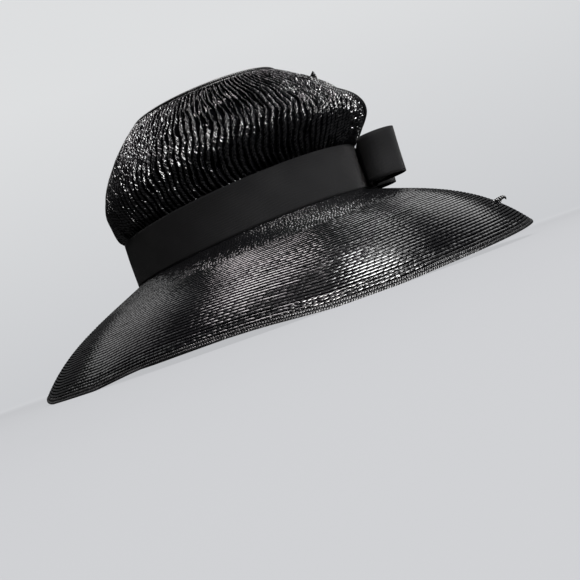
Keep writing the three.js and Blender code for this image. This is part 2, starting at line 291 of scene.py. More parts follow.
# Each strand gives the plait's sizes, with lengths in millimetres.
STRAND_SIZES = (
    "Strand Length", "Slant", "Roundness", "Tilt Along", "Tilt Across", "Ridge Place", "Ridge Width",
    "Gap Start",
)
BRIM_STRAND = dict(zip(STRAND_SIZES, (5.2, 0.15, 0.06, 0.11, 0.03, 0.48, 0.31, 0.82)))
WEAVE_STRAND = dict(zip(STRAND_SIZES, (2.2, 0.15, 0.12, 0.3, 0.2, 0.48, 0.46, 0.66)))
RIM_STRAND = dict(zip(STRAND_SIZES, (3.6, 0.3, 0.08, 0.3, 0.1, 0.48, 0.36, 0.75)))
EDGE_STRAND = dict(zip(STRAND_SIZES, (1.7, 0.8, 0.25, 0.3, 0.2, 0.5, 0.6, 0.6)))


def smooth_between(a, b, c, d, t):
    """A smooth curve from b to c, through the values a, b, c and d, at t from 0 to 1."""
    return b + 0.5 * t * (c - a + t * (2 * a - 5 * b + 4 * c - d + t * (3 * b - a - 3 * c + d)))


def around(rows, column, turn):
    """A column of a table whose rows are spaced evenly round the hat, read at any turn."""
    values = np.array([row[column] for row in rows])
    place = (np.asarray(turn) - rows[0]["turn"]) * len(rows) / 360
    first = np.floor(place).astype(int)
    a, b, c, d = [values[(first + i) % len(rows)] for i in (-1, 0, 1, 2)]
    return smooth_between(a, b, c, d, place - first)


def beside(turn, offset, rise):
    """Points beside the ribbon's oval, moved out by an offset and up from its lower edge."""
    c, s = np.cos(np.radians(turn)), np.sin(np.radians(turn))
    out_x, out_y = c / BAND_HALF_WIDTH, s / BAND_HALF_LENGTH
    size = np.hypot(out_x, out_y)
    x = BAND_CENTRE[0] + BAND_HALF_WIDTH * c + out_x / size * offset
    y = BAND_CENTRE[1] + BAND_HALF_LENGTH * s + out_y / size * offset
    z = BAND_FOOT + BAND_FOOT_TO_SIDE * c + BAND_FOOT_TO_BACK * s + rise
    return np.stack(np.broadcast_arrays(x, y, z), -1)


def brim_top(turn, share):
    """Points of the brim's upper face: share 0 is at the ribbon and share 1 at the rim."""
    foot = beside(turn, 0, 0)
    straight = around(BRIM_FALL, "straight", turn)
    late = around(BRIM_FALL, "lateness", turn)
    rim = np.maximum(around(RIM_WAVE, "height", turn) - RIM_SETTLE, 0)
    fall = straight * share + (1 - straight) * np.maximum(share, 0) ** late
    x = foot[..., 0] + (RIM_HALF_WIDTH * np.cos(np.radians(turn)) - foot[..., 0]) * share
    y = foot[..., 1] + (RIM_HALF_LENGTH * np.sin(np.radians(turn)) - foot[..., 1]) * share
    return np.stack([x, y, foot[..., 2] + (rim - foot[..., 2]) * fall], -1)


def unit(vectors):
    return vectors / np.linalg.norm(vectors, axis=-1, keepdims=True)


def brim_up(turn, share):
    """The brim's upward normals."""
    across = brim_top(turn, share + SHARE_STEP) - brim_top(turn, share - SHARE_STEP)
    along = brim_top(turn + TURN_STEP, share) - brim_top(turn - TURN_STEP, share)
    return unit(np.cross(across, along))


def row_places(first, last, steps):
    """Places across the rows, counted in rows, with the named steps in each."""
    return np.array([row + step for row in range(first, last) for step in steps])


def equal_shares(turns, places, rows):
    """The share of the brim at which each row place lies, so that the rows are equally wide."""
    shares = np.linspace(SHARE_START, 1, SHARE_SAMPLES)
    found = np.empty((len(places), len(turns)))
    for i, turn in enumerate(turns):
        path = brim_top(np.full_like(shares, turn), shares)
        length = np.concatenate([[0], np.cumsum(np.linalg.norm(np.diff(path, axis=0), axis=1))])
        found[:, i] = np.interp(np.asarray(places) / rows * length[-1], length, shares)
    return found


def sewn_mesh(name, points, places, relief, crisp=(), upright=0):
    """A closed skin whose rows run along its second axis. places counts the rows across it, and
    relief is how strongly each line of points is raised. crisp names the steps in each row that are
    creased, and upright is how far each line of points is turned up on edge. Its UV map has the
    length along each row in millimetres and the place across in rows."""
    across, along = points.shape[:2]
    index = np.arange(across * along).reshape(across, along)
    right = np.roll(index, -1, axis=0)
    quads = np.stack([index, right, np.roll(right, -1, axis=1), np.roll(index, -1, axis=1)], -1)
    mesh = bpy.data.meshes.new(name)
    mesh.from_pydata(points.reshape(-1, 3).tolist(), [], quads.reshape(-1, 4).tolist())
    middle = (points + np.roll(points, -1, axis=0)) / 2
    steps = np.linalg.norm(np.roll(middle, -1, axis=1) - middle, axis=-1) * 1000
    length = np.concatenate([np.zeros((across, 1)), np.cumsum(steps, axis=1)], axis=1)
    row = np.floor(places + 1e-6).astype(int)
    row_length = np.stack([length[row == r].mean(axis=0) for r in row])
    ends = np.append(places[1:], places[-1])
    ends = np.where(ends > places, ends, row + 1)
    u = np.stack([row_length[:, :-1], row_length[:, :-1], row_length[:, 1:], row_length[:, 1:]], -1)
    v = np.stack([places, ends, ends, places], -1)[:, None, :].repeat(along, axis=1)
    layer = mesh.uv_layers.new(name="rows")
    layer.uv.foreach_set("vector", np.stack([u, v], -1).reshape(-1).astype(np.float32))
    for label, values in (("row_place", places), ("row_relief", relief), ("row_upright", upright)):
        values = np.asarray(values, dtype=np.float32)
        values = np.broadcast_to(values[:, None] if values.ndim == 1 else values, (across, along))
        attribute = mesh.attributes.new(label, "FLOAT", "POINT")
        attribute.data.foreach_set("value", np.ascontiguousarray(values).reshape(-1))
    mesh.shade_smooth()
    if crisp:
        step = places - row
        creased = np.abs(step[:, None] - np.asarray(crisp)[None, :]).min(axis=1) < 1e-6
        ends = np.empty(len(mesh.edges) * 2, dtype=int)
        mesh.edges.foreach_get("vertices", ends)
        line = ends.reshape(-1, 2) // along
        sharp = mesh.attributes.new("sharp_edge", "BOOLEAN", "EDGE")
        sharp.data.foreach_set("value", (line[:, 0] == line[:, 1]) & creased[line[:, 0]])
    return mesh


def group_sockets(tree, inputs, outputs):
    """Named inputs and outputs for a node group, each as (name, kind, starting value)."""
    for name, kind, value in inputs:
        made = tree.interface.new_socket(name, in_out="INPUT", socket_type=kind)
        if value is not None:
            made.default_value = value
    for name, kind in outputs:
        tree.interface.new_socket(name, in_out="OUTPUT", socket_type=kind)


def profile_curve(tree, across, places):
    """The height of a row at a place across it, as a Float Curve through the given places."""
    curve = tree.nodes.new("ShaderNodeFloatCurve")
    points = curve.mapping.curves[0].points
    points[0].location = places[0]
    points[1].location = places[-1]
    for spot in places[1:-1]:
        points.new(*spot)
    for point in points:
        point.handle_type = "VECTOR"
    curve.mapping.update()
    tree.links.new(across, curve.inputs["Value"])
    return curve.outputs[0]


def point_value(tree, name):
    """The value that each point of the mesh carries under a name."""
    reader = tree.nodes.new("GeometryNodeInputNamedAttribute")
    reader.data_type = "FLOAT"
    reader.inputs["Name"].default_value = name
    return reader.outputs["Attribute"]


def row_noise(tree, size, row, seed):
    """Soft noise of a given lump size, different in each row."""
    noise = tree.nodes.new("ShaderNodeTexNoise")
    noise.noise_dimensions = "4D"
    noise.inputs["Detail"].default_value = 1
    tree.links.new(tree.nodes.new("GeometryNodeInputPosition").outputs[0], noise.inputs["Vector"])
    tree.links.new(maths(tree, "DIVIDE", 1.0, size), noise.inputs["Scale"])
    tree.links.new(maths(tree, "MULTIPLY_ADD", row, ROW_NOISE_STEP, seed), noise.inputs["W"])
    return noise.outputs[0]


def sewn_rows_tree(name, lying_places, standing_places):
    """Raises the rows on a smooth skin. Each stretch of a row lies flat or stands on its edge."""
    tree = bpy.data.node_groups.new(name, "GeometryNodeTree")
    tree.is_modifier = True
    inputs = [
        ("Geometry", "NodeSocketGeometry", None),
        ("Row Depth", "NodeSocketFloat", 0.0004),
        ("Standing", "NodeSocketFloat", 0.0),
        ("Fold Length", "NodeSocketFloat", 0.03),
        ("Unevenness", "NodeSocketFloat", 0.3),
        ("Lump Size", "NodeSocketFloat", 0.01),
        ("Seed", "NodeSocketFloat", 1.0),
        ("Straw", "NodeSocketMaterial", None),
    ]
    group_sockets(tree, inputs, [("Geometry", "NodeSocketGeometry")])
    nodes, links = tree.nodes, tree.links
    given = nodes.new("NodeGroupInput")
    place = maths(tree, "ADD", point_value(tree, "row_place"), 1e-4)
    row, across = maths(tree, "FLOOR", place), maths(tree, "FRACT", place)
    lying = profile_curve(tree, across, lying_places)
    standing = profile_curve(tree, across, standing_places)
    folds = row_noise(tree, given.outputs["Fold Length"], row, given.outputs["Seed"])
    stands = maths(tree, "ADD", point_value(tree, "row_upright"), given.outputs["Standing"])
    folds = maths(tree, "MULTIPLY_ADD", folds, FOLD_CONTRAST, FOLD_LIMIT)
    folded = map_range(tree, maths(tree, "ADD", folds, stands), (0, 1), 0, 1)
    told = nodes.new("GeometryNodeStoreNamedAttribute")
    told.data_type = "FLOAT"
    told.inputs["Name"].default_value = "row_folded"
    links.new(given.outputs["Geometry"], told.inputs["Geometry"])
    links.new(folded, told.inputs["Value"])
    shape = maths(tree, "MULTIPLY_ADD", maths(tree, "SUBTRACT", standing, lying), folded, lying)
    centred = maths(tree, "MULTIPLY_ADD", shape, 2, -1)
    lumps = row_noise(tree, given.outputs["Lump Size"], row, given.outputs["Seed"])
    uneven = maths(tree, "MULTIPLY", maths(tree, "SUBTRACT", lumps, 0.5), given.outputs["Unevenness"])
    height = maths(tree, "MULTIPLY_ADD", uneven, LUMP_CONTRAST, centred)
    height = maths(tree, "MULTIPLY", height, given.outputs["Row Depth"])
    height = maths(tree, "MULTIPLY", height, point_value(tree, "row_relief"))
    push = nodes.new("ShaderNodeVectorMath")
    push.operation = "SCALE"
    links.new(nodes.new("GeometryNodeInputNormal").outputs[0], push.inputs[0])
    links.new(height, push.inputs["Scale"])
    shift = nodes.new("GeometryNodeSetPosition")
    links.new(told.outputs[0], shift.inputs["Geometry"])
    links.new(push.outputs[0], shift.inputs["Offset"])
    real = nodes.new("GeometryNodeRealizeInstances")
    links.new(shift.outputs[0], real.inputs[0])
    dress = nodes.new("GeometryNodeSetMaterial")
    links.new(real.outputs[0], dress.inputs["Geometry"])
    links.new(given.outputs["Straw"], dress.inputs["Material"])
    out = nodes.new("NodeGroupOutput")
    links.new(dress.outputs[0], out.inputs[0])
    return tree


def grown(name, mesh, tree, values):
    """The plain mesh that a geometry tree makes of a mesh, as a new object."""
    holder = bpy.data.objects.new(name, mesh)
    bpy.context.collection.objects.link(holder)
    modifier = holder.modifiers.new("shape", "NODES")
    modifier.node_group = tree
    keys = {s.name: s.identifier for s in tree.interface.items_tree if s.in_out == "INPUT"}
    for label, value in values.items():
        modifier[keys[label]] = value
    graph = bpy.context.evaluated_depsgraph_get()
    made = bpy.data.meshes.new_from_object(holder.evaluated_get(graph), depsgraph=graph)
    made.name = name
    holder.modifiers.clear()
    holder.data = made
    bpy.data.meshes.remove(mesh)
    return holder


def noise_texture(tree, scale, detail=2):
    """Fine noise fixed to the piece. Returns its output."""
    noise = tree.nodes.new("ShaderNodeTexNoise")
    socket_value(noise, "Scale", scale)
    socket_value(noise, "Detail", detail)
    tree.links.new(tree.nodes.new("ShaderNodeTexCoord").outputs["Object"], noise.inputs["Vector"])
    return noise.outputs[0]


def pattern_node(tree, group, sizes):
    """A pattern's group, read from the piece's UV map and with its sizes set."""
    uv = tree.nodes.new("ShaderNodeUVMap")
    uv.uv_map = "rows"
    pattern = tree.nodes.new("ShaderNodeGroup")
    pattern.node_tree = group
    tree.links.new(uv.outputs[0], pattern.inputs[0])
    for label, value in sizes.items():
        socket_value(pattern, label, value)
    return pattern


def bumped(tree, height, distance, sockets):
    """Feeds a height to the normal sockets as a bump."""
    bump = tree.nodes.new("ShaderNodeBump")
    socket_value(bump, "Distance", distance)
    tree.links.new(height, bump.inputs["Height"])
    for socket in sockets:
        tree.links.new(bump.outputs[0], socket)


def plait_group():
    """The look of a plait: slanting strands along each row, each lying at its own slight tilt, with a mask
    of the gaps between strands and between rows, which the straw uses for painted shade. Lengths are in
    millimetres."""
    tree = bpy.data.node_groups.new("straw_plait", "ShaderNodeTree")
    inputs = [
        ("Rows", "NodeSocketVector", None),
        ("Strand Length", "NodeSocketFloat", 3.6),
        ("Slant", "NodeSocketFloat", 1.2),
        ("Roundness", "NodeSocketFloat", 0.12),
        ("Tilt Along", "NodeSocketFloat", 0.5),
        ("Tilt Across", "NodeSocketFloat", 0.2),
        ("Ridge Place", "NodeSocketFloat", 0.5),
        ("Ridge Width", "NodeSocketFloat", 0.5),
        ("Gap Start", "NodeSocketFloat", 0.74),
    ]
    group_sockets(tree, inputs, [(name, "NodeSocketFloat") for name in ("Height", "Chance", "Gap")])
    nodes, links = tree.nodes, tree.links
    given, out = nodes.new("NodeGroupInput"), nodes.new("NodeGroupOutput")
    apart = nodes.new("ShaderNodeSeparateXYZ")
    links.new(given.outputs["Rows"], apart.inputs[0])
    row = maths(tree, "FLOOR", apart.outputs["Y"])
    across = maths(tree, "FRACT", apart.outputs["Y"])
    off_ridge = maths(tree, "SUBTRACT", across, given.outputs["Ridge Place"])
    centred = maths(tree, "DIVIDE", off_ridge, given.outputs["Ridge Width"])
    side = maths(tree, "GREATER_THAN", centred, 0.0)
    from_middle = maths(tree, "ABSOLUTE", centred)
    row_gap = map_range(tree, from_middle, ROW_GAP, 0, 1)
    run = maths(tree, "DIVIDE", apart.outputs["X"], given.outputs["Strand Length"])
    slanted = maths(tree, "MULTIPLY_ADD", from_middle, given.outputs["Slant"], run)
    stagger = nodes.new("ShaderNodeTexWhiteNoise")
    stagger.noise_dimensions = "1D"
    links.new(row, stagger.inputs["W"])
    phase = maths(tree, "ADD", stagger.outputs["Value"], slanted)
    strand = maths(tree, "FLOOR", phase)
    inside = maths(tree, "SUBTRACT", maths(tree, "FRACT", phase), 0.5)
    joined = nodes.new("ShaderNodeCombineXYZ")
    for slot, value in zip(joined.inputs, (strand, row, side)):
        links.new(value, slot)
    chance = nodes.new("ShaderNodeTexWhiteNoise")
    chance.noise_dimensions = "3D"
    links.new(joined.outputs[0], chance.inputs["Vector"])
    chances = nodes.new("ShaderNodeSeparateColor")
    links.new(chance.outputs["Color"], chances.inputs[0])
    edge = maths(tree, "ABSOLUTE", maths(tree, "MULTIPLY", inside, 2.0))
    past = maths(tree, "SUBTRACT", edge, given.outputs["Gap Start"])
    past = maths(tree, "MULTIPLY", past, STRAND_GAP_SHARPNESS)
    strand_gap = map_range(tree, past, (0, 1), 0, 1)
    arch = maths(tree, "SUBTRACT", 1.0, maths(tree, "MULTIPLY", edge, edge))
    round_top = maths(tree, "MULTIPLY", arch, given.outputs["Roundness"])
    height = round_top
    for number, tilt, lever in ((0, "Tilt Along", inside), (1, "Tilt Across", centred)):
        either_way = maths(tree, "MULTIPLY_ADD", chances.outputs[number], 2, -1)
        lean = maths(tree, "MULTIPLY", either_way, given.outputs[tilt])
        height = maths(tree, "MULTIPLY_ADD", lean, lever, height)
    links.new(height, out.inputs["Height"])
    links.new(chances.outputs[2], out.inputs["Chance"])
    # The gap mask, which the straw uses for painted shade.
    links.new(maths(tree, "MAXIMUM", strand_gap, row_gap), out.inputs["Gap"])
    return tree


def straw_material(name, strand, roughness, standing_width=None):
    """Glossy black straw, with painted shade in the gaps between strands and rows: a darker colour there
    and no coat gloss. strand holds the plait group's sizes in millimetres. standing_width is the ridge
    width where a row stands on its edge."""
    material, tree, surface = new_material(name)
    nodes, links = tree.nodes, tree.links
    plait = pattern_node(tree, straw_plait, strand)
    if standing_width:
        folded = nodes.new("ShaderNodeAttribute")
        folded.attribute_name = "row_folded"
        lying_width = strand["Ridge Width"]
        width = map_range(tree, folded.outputs["Fac"], FOLDED_SPAN, lying_width, standing_width)
        links.new(width, plait.inputs["Ridge Width"])
    fibre = noise_texture(tree, FIBRE_SCALE, 3)
    height = maths(tree, "MULTIPLY_ADD", fibre, FIBRE_BUMP, plait.outputs["Height"])
    normals = (surface.inputs["Normal"], surface.inputs["Coat Normal"])
    bumped(tree, height, STRAW_BUMP, normals)
    # Painted shade: the gaps get a darker colour than the straw.
    shade = blend_colour(tree, plait.outputs["Gap"], STRAW_COLOUR, STRAW_GAP_SHADE)
    links.new(shade, surface.inputs["Base Color"])
    chance = plait.outputs["Chance"]
    rough = maths(tree, "MULTIPLY_ADD", chance, STRAW_ROUGHNESS_RANGE, STRAW_ROUGHNESS)
    links.new(rough, surface.inputs["Roughness"])
    # Painted shade: the coat gloss is taken away in the gaps, so they show no reflection.
    links.new(maths(tree, "SUBTRACT", 1.0, plait.outputs["Gap"]), surface.inputs["Coat Weight"])
    socket_value(surface, "Coat Roughness", roughness)
    socket_value(surface, "Specular IOR Level", 0.0)
    return material


def brim_ring(name, first, last, straw):
    """One closed ring of brim rows, upper and under face, from one row to another. Its first row
    starts under the ring before it."""
    turns = np.arange(BRIM_COLUMNS) * 360 / BRIM_COLUMNS
    upper = row_places(first, last, UPPER_STEPS)
    under = row_places(first, last, UNDER_STEPS)[::-1]
    grid = turns[None, :]
    top = brim_top(grid, equal_shares(turns, upper, BRIM_ROWS))
    raised = FINE_RELIEF + (1 - FINE_RELIEF) * np.clip(upper / FINE_ROWS, 0, 1)
    low_share = equal_shares(turns, under, BRIM_ROWS) * (1 - RIM_TUCK)
    low = brim_top(grid, low_share) - BRIM_THICKNESS * brim_up(grid, np.clip(low_share, 0, UNDER_SHARE))
    under_relief = np.full(len(under), UNDER_ROW_DEPTH / BRIM_ROW_DEPTH)
    parts, places, relief = [top], [upper], [raised]
    if first:
        share = equal_shares(turns, [first - RING_LAP], BRIM_ROWS)
        parts.insert(0, brim_top(grid, share) - RING_LIP * brim_up(grid, share))
        places.insert(0, [first])
        relief.insert(0, [0])
    if last == BRIM_ROWS:
        edge = brim_top(grid, np.ones((1, BRIM_COLUMNS)))
        turned = edge - unit(edge * [1, 1, 0]) * RIM_TURN
        turned[..., 2] = edge[..., 2]
        parts += [edge, turned]
        places.append([last - ROW_END, last - ROW_END])
        relief.append([0, 0])
    else:
        share = equal_shares(turns, [last - ROW_END], BRIM_ROWS)
        parts.append(brim_top(grid, share) - RING_DROP * brim_up(grid, share))
        places.append([last - ROW_END])
        relief.append([0])
    places = np.concatenate(places + [last + (last - under)])
    relief = np.concatenate(relief + [under_relief])
    mesh = sewn_mesh(name, np.concatenate(parts + [low]), places, relief, CRISP_STEPS)
    values = {
        "Row Depth": BRIM_ROW_DEPTH,
        "Standing": RIM_ROUNDING if last > ROUND_FROM_ROW else 0.0,
        "Unevenness": 0.12,
        "Lump Size": 0.012,
        "Seed": 2.0,
        "Straw": straw,
    }
    made = grown(name, mesh, sewn_rows, values)
    heights = np.empty(len(made.data.vertices) * 3)
    made.data.vertices.foreach_get("co", heights)
    heights[2::3] = np.maximum(heights[2::3], 0)
    made.data.vertices.foreach_set("co", heights)
    made.data.update()
    return made


sewn_rows = sewn_rows_tree("sewn_rows", BRIM_PROFILE, ROUND_PROFILE)
straw_plait = plait_group()
brim_straw = straw_material("brim_straw", BRIM_STRAND, 0.15)
weave_straw = straw_material("brim_weave_straw", WEAVE_STRAND, 0.2)
rim_straw = straw_material("brim_rim_straw", RIM_STRAND, 0.15)
edge_straw = straw_material("brim_edge_straw", EDGE_STRAND, 0.3)
ring_straws = [weave_straw, brim_straw, brim_straw, rim_straw, edge_straw]
for ring, straw in zip(BRIM_RINGS, ring_straws):
    piece = brim_ring(ring["name"], ring["first"], ring["last"], straw)
    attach(piece, "root")
    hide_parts("brim")

# Crown: the same straw gathered into upright rows that puff out over the ribbon and close in
# to the flat tip. Most stretches of a row stand on edge, and some lie flat and show their plait.
# The crown's height as a share, and how far it stands out from the ribbon there.
CROWN_PUFF = [
    {"share": share, "back": back, "front": front} for share, back, front in (
        (0.0, -0.0011, -0.0011),
        (0.08, 0.0021, 0.0043),
        (0.18, 0.0033, 0.0105),
        (0.3, 0.0035, 0.0162),
        (0.42, 0.0006, 0.0143),
        (0.54, -0.0035, 0.0054),
        (0.66, -0.0103, -0.0025),
        (0.77, -0.0173, -0.0121),
        (0.87, -0.0248, -0.0227),
        (0.95, -0.0318, -0.0315),
        (1.0, -0.0366, -0.0384),
    )
]
RIBBON_TOP = 0.0349
CROWN_SEAT = 0.0016
CROWN_TOP = 0.1805
CROWN_TOP_SLOPE = (-0.005, -0.015)
CROWN_ROWS = 140
CROWN_ROW_STEPS = [0.0, 0.3, 0.42, 0.5, 0.58, 0.7]
CROWN_LYING = [(0, 0.1), (0.3, 0.86), (0.42, 0.97), (0.5, 1.0), (0.58, 0.97), (0.7, 0.86), (1, 0.1)]
CROWN_STANDING = [(0, 0), (0.3, 0.02), (0.42, 0.86), (0.5, 1.0), (0.58, 0.86), (0.7, 0.02), (1, 0)]
CROWN_STRAND = dict(zip(STRAND_SIZES, (2.5, 0.9, 0.14, 0.75, 0.35, 0.5, 0.34, 0.66)))
CROWN_OUTER_STEPS = 102
CROWN_ROW_DEPTH = 0.0014
CROWN_THICKNESS = 0.0016
CROWN_SWING = 1.5
CROWN_SWEEP = 3.6
CROWN_SWEEP_TURN = 222
CROWN_CRINKLE = 0.11
CROWN_UPRIGHT = ((0, 0.12, 0.5, 0.75, 1), (0.6, 0, 0, 1, 1))
CROWN_SEED = 11
CROWN_SEAT_OUT = -0.0011
CROWN_INNER_PLACES = (0.985, 0.93, 0.84, 0.72, 0.6, 0.46, 0.3, 0.15, 0.0)
CROWN_FADE = 0.6
CROWN_RIPPLE = 0.4
SWEEP_SPREAD = 38
SWING_WAVES = 1.35
SWING_SCATTER = 0.6
SWEEP_WAVES = 0.9
SWEEP_START = -0.28
RIPPLE_WAVES = 4.2
CRINKLE_WAVES = (27, 15)
COARSE_CRINKLE = 1.3
RELIEF_STARTS = (0.06, 0.01)


def upward(rows, column, share):
    """A column of a table whose rows run from share 0 to 1, read smoothly at any share."""
    places = np.array([row["share"] for row in rows])
    values = np.array([row[column] for row in rows])
    low, high = np.roll(values, 1), np.roll(values, -1)
    low[0], high[-1] = values[0], values[-1]
    low_place, high_place = np.roll(places, 1), np.roll(places, -1)
    low_place[0], high_place[-1] = places[0], places[-1]
    slopes = (high - low) / (high_place - low_place)
    i = np.clip(np.searchsorted(places, share, side="right") - 1, 0, len(places) - 2)
    span = places[i + 1] - places[i]
    t = (share - places[i]) / span
    ease = t * t * (3 - 2 * t)
    bend = t * (1 - t) * span
    return values[i] + (values[i + 1] - values[i]) * ease + bend * ((1 - t) * slopes[i] - t * slopes[i + 1])


def crown_top_height(x, y):
    return CROWN_TOP + CROWN_TOP_SLOPE[0] * x + CROWN_TOP_SLOPE[1] * y


def crown_side(turn, place, out=0):
    """Points of the crown's side: place 0 is at the ribbon's top and place 1 at the tip's edge."""
    front = (1 - np.sin(np.radians(turn))) / 2
    back_puff, front_puff = upward(CROWN_PUFF, "back", place), upward(CROWN_PUFF, "front", place)
    points = beside(turn, back_puff + (front_puff - back_puff) * front + out, RIBBON_TOP)
    top = crown_top_height(points[..., 0], points[..., 1])
    points[..., 2] += (top - points[..., 2]) * place
    return points


def crown_wander(row_turn, climb):
    """How far each gathered row strays sideways on its way up, in degrees of turn."""
    fade = np.sin(math.pi * climb) ** CROWN_FADE
    near = np.exp(-(((row_turn - CROWN_SWEEP_TURN) / SWEEP_SPREAD) ** 2))
    swing = SWING_WAVES * climb + SWING_SCATTER * np.sin(np.radians(row_turn * 3)) + row_turn / 90
    swing = np.sin(math.tau * swing)
    sweep = np.sin(math.tau * (SWEEP_WAVES * climb + SWEEP_START)) * near
    ripple = RIPPLE_WAVES * climb + np.sin(np.radians(row_turn * 5 + 40)) + row_turn / 31
    ripple = np.sin(math.tau * ripple)
    phases = np.random.default_rng(CROWN_SEED).random((2, CROWN_ROWS, 1))
    fine, coarse = phases[:, np.round(row_turn[:, 0] * CROWN_ROWS / 360).astype(int)]
    crinkle = np.sin(math.tau * (CRINKLE_WAVES[0] * climb + fine))
    crinkle = crinkle + COARSE_CRINKLE * np.sin(math.tau * (CRINKLE_WAVES[1] * climb + coarse))
    wander = CROWN_SWING * (1 - near) * swing + CROWN_SWEEP * sweep + CROWN_RIPPLE * ripple
    return fade * (wander + CROWN_CRINKLE * crinkle)


def crown_rows():
    places = row_places(0, CROWN_ROWS, CROWN_ROW_STEPS)
    climb = np.linspace(0, 1, CROWN_OUTER_STEPS)[None, :]
    base = (places * 360 / CROWN_ROWS)[:, None]
    row_turn = np.floor(places + 1e-6)[:, None] * 360 / CROWN_ROWS
    turn = base + crown_wander(row_turn, climb)
    outer = crown_side(turn, np.broadcast_to(climb, turn.shape))
    seat = beside(base, np.full((1, 1), CROWN_SEAT_OUT), CROWN_SEAT)
    inner_up = np.array(CROWN_INNER_PLACES)
    inner_turn, inner_place = np.broadcast_arrays(base, inner_up[None, :])
    inner = crown_side(inner_turn, inner_place, -CROWN_THICKNESS)
    seat_in = beside(base, np.full((1, 1), CROWN_SEAT_OUT - CROWN_THICKNESS), CROWN_SEAT)
    points = np.concatenate([seat, outer, inner, seat_in], axis=1)
    low_start, high_start = RELIEF_STARTS
    rise = np.clip(np.minimum(climb[0] / low_start, (1 - climb[0]) / high_start), 0, 1)
    smooth = np.zeros(len(inner_up) + 1)
    lines = [np.concatenate([[0], line, smooth]) for line in (rise, np.interp(climb[0], *CROWN_UPRIGHT))]
    relief, upright = [np.repeat(line[None, :], len(places), axis=0) for line in lines]
    mesh = sewn_mesh("crown_rows", points, places, relief, upright=upright)
    values = {
        "Row Depth": CROWN_ROW_DEPTH,
        "Standing": 0.4,
        "Fold Length": 0.022,
        "Unevenness": 0.2,
        "Lump Size": 0.014,
        "Seed": 5.0,
        "Straw": crown_straw,
    }
    return grown("crown_rows", mesh, gathered_rows, values)


gathered_rows = sewn_rows_tree("gathered_rows", CROWN_LYING, CROWN_STANDING)
crown_straw = straw_material("crown_straw", CROWN_STRAND, 0.16, standing_width=0.12)
crown = crown_rows()
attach(crown, "root")
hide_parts("crown_side")

# Front fold: where the gathers meet at the front left, one row is turned over into a smooth roll
# that runs down the shoulder of the crown.
FOLD_PATH = [
    {"turn": turn, "place": place, "radius": radius} for turn, place, radius in (
        (261, 0.66, 0.0006),
        (265, 0.6, 0.0018),
        (270, 0.52, 0.0024),
        (275, 0.44, 0.0026),
        (280, 0.36, 0.0026),
        (285, 0.27, 0.0022),
        (289, 0.19, 0.0016),
        (291, 0.13, 0.0005),
    )
]
FOLD_STEPS = 48
FOLD_SIDES = 14
FOLD_LIFT = 0.0006


def path_values(rows, column, steps):
    """A column of a path's table, read smoothly at equal steps from its start to its end."""
    values = np.array([row[column] for row in rows])
    spots = np.linspace(0, len(rows) - 1, steps)
    i = np.clip(np.floor(spots).astype(int), 0, len(rows) - 2)
    t = spots - i
    before, after = np.clip(i - 1, 0, None), np.clip(i + 2, None, len(rows) - 1)
    return smooth_between(values[before], values[i], values[i + 1], values[after], t)


def swept(name, spine, wide, deep, facing, material):
    """A closed form swept along a spine: half widths and half depths at each step, the depth lying
    along facing. Its UV map has the length in millimetres and the place round it."""
    steps, sides = len(spine), FOLD_SIDES
    tangent = unit(np.gradient(spine, axis=0))
    side = unit(np.cross(tangent, facing))
    depth = np.cross(side, tangent)
    angle = (np.arange(sides) * math.tau / sides)[None, :, None]
    sideways = side[:, None] * wide[:, None, None] * np.cos(angle)
    rings = sideways + depth[:, None] * deep[:, None, None] * np.sin(angle)
    points = (spine[:, None] + rings).reshape(-1, 3).tolist() + spine[[0, -1]].tolist()
    length = np.concatenate([[0], np.cumsum(np.linalg.norm(np.diff(spine, axis=0), axis=1))]) * 1000
    work = bmesh.new()
    verts = [work.verts.new(point) for point in points]
    layer = work.loops.layers.uv.new("rows")

    def face(corners, places):
        made = work.faces.new([verts[c] for c in corners])
        made.smooth = True
        for loop, place in zip(made.loops, places):
            loop[layer].uv = place

    for i in range(steps - 1):
        for k in range(sides):
            n = (k + 1) % sides
            corners = [i * sides + k, i * sides + n, (i + 1) * sides + n, (i + 1) * sides + k]
            low, high = k / sides, (k + 0.999) / sides
            here, there = length[i], length[i + 1]
            face(corners, [(here, low), (here, high), (there, high), (there, low)])
    for k in range(sides):
        n = (k + 1) % sides
        last = (steps - 1) * sides
        face([steps * sides, n, k], [(0, 0.5)] * 3)
        face([steps * sides + 1, last + k, last + n], [(length[-1], 0.5)] * 3)
    bmesh.ops.recalc_face_normals(work, faces=work.faces)
    mesh = bpy.data.meshes.new(name)
    work.to_mesh(mesh)
    work.free()
    return plain_piece(name, mesh, material)


def plain_piece(name, mesh, material):
    mesh.materials.append(material)
    piece = bpy.data.objects.new(name, mesh)
    bpy.context.collection.objects.link(piece)
    return piece


fold_turn, fold_place, fold_radius = [
    path_values(FOLD_PATH, column, FOLD_STEPS) for column in ("turn", "place", "radius")
]
fold_spine = crown_side(fold_turn, fold_place, FOLD_LIFT)
fold_out = unit(crown_side(fold_turn, fold_place, 0.002) - crown_side(fold_turn, fold_place, 0))
fold = swept("crown_front_fold", fold_spine, fold_radius, fold_radius, fold_out, edge_straw)
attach(fold, "root")
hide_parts("crown_side")

# Tip: the flat oval top of the crown, the same plait sewn round and round, with a thin rolled
# cord of straw laid over the seam where the gathers end.
TIP_EDGE_OFFSET = -0.0375
TIP_DOME = 0.003
TIP_THICKNESS = 0.002
TIP_ROWS = 16
TIP_COLUMNS = 240
TIP_ROW_DEPTH = 0.0004
CORD_OFFSET = -0.038
CORD_RADIUS = 0.00115
CORD_LIFT = 0.0003
CORD_SIDES = 10
SEAM_OFFSET = -0.0362
SEAM_RADIUS = 0.0009
SEAM_LIFT = -0.0016


